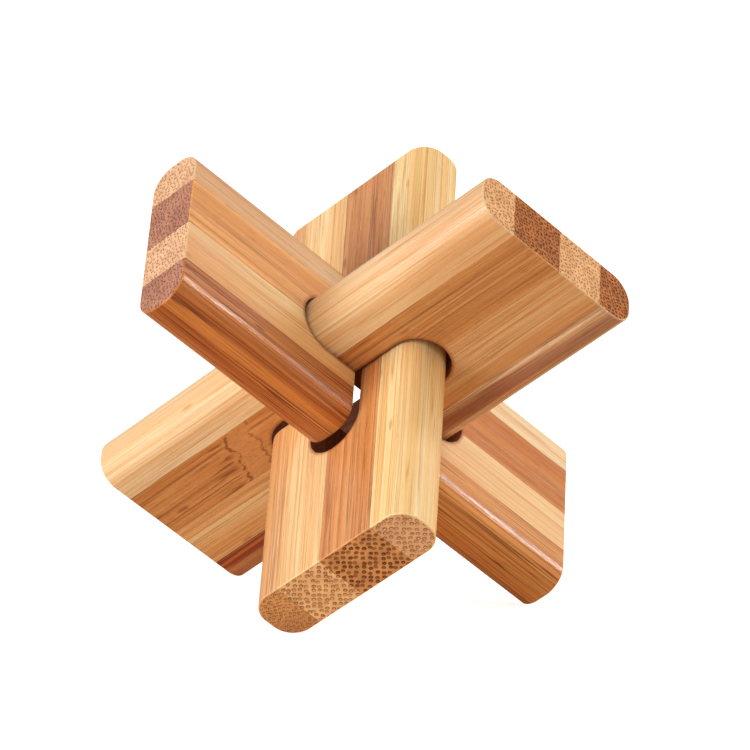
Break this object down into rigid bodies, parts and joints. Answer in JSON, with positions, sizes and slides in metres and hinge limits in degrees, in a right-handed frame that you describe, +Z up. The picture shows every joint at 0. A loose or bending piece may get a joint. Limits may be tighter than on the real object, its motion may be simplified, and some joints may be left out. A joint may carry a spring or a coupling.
{
  "type": "wooden burr puzzle",
  "caption": "Burr puzzle of laminated bamboo boards that cross at right angles through each other's slots and slide apart.",
  "frame": {"origin": "the point on the surface that the puzzle stands on, straight below the crossing of the three boards", "axes": "+Z up, -Y towards the viewer, +X to the viewer's right. The puzzle stands on three board ends, so each board leans 35 degrees: the left board's upper end points to -X, -Y, the right board's to +X, -Y, and the front board's to +Y, with its lower end towards the viewer."},
  "size_m": [0.059, 0.06, 0.0502],
  "materials": {
    "natural_bamboo": "satin",
    "carbonised_bamboo": "satin"
  },
  "bodies": {
    "left_board": {"left_light_edge": "natural_bamboo", "left_dark_core": "carbonised_bamboo", "left_light_core_head": "natural_bamboo", "left_light_core_foot": "natural_bamboo", "left_dark_edge_head": "carbonised_bamboo", "left_dark_edge_foot": "carbonised_bamboo"},
    "right_board": {"right_light_edge": "natural_bamboo", "right_dark_core": "carbonised_bamboo", "right_light_core": "natural_bamboo", "right_dark_edge": "carbonised_bamboo"},
    "front_board": {"front_light_edge": "natural_bamboo", "front_dark_core": "carbonised_bamboo", "front_light_core_head": "natural_bamboo", "front_light_core_foot": "natural_bamboo", "front_dark_edge_head": "carbonised_bamboo", "front_dark_edge_foot": "carbonised_bamboo"}
  },
  "joints": [
    {"name": "right_board_slide", "type": "slide", "parent": "left_board", "child": "right_board", "axis": [0.7071, -0.4082, 0.5774], "range_m": [0, 0.035]},
    {"name": "front_board_play", "type": "slide", "parent": "right_board", "child": "front_board", "axis": [0, 0.8165, 0.5774], "range_m": [-0.0009, 0.0009]}
  ]
}
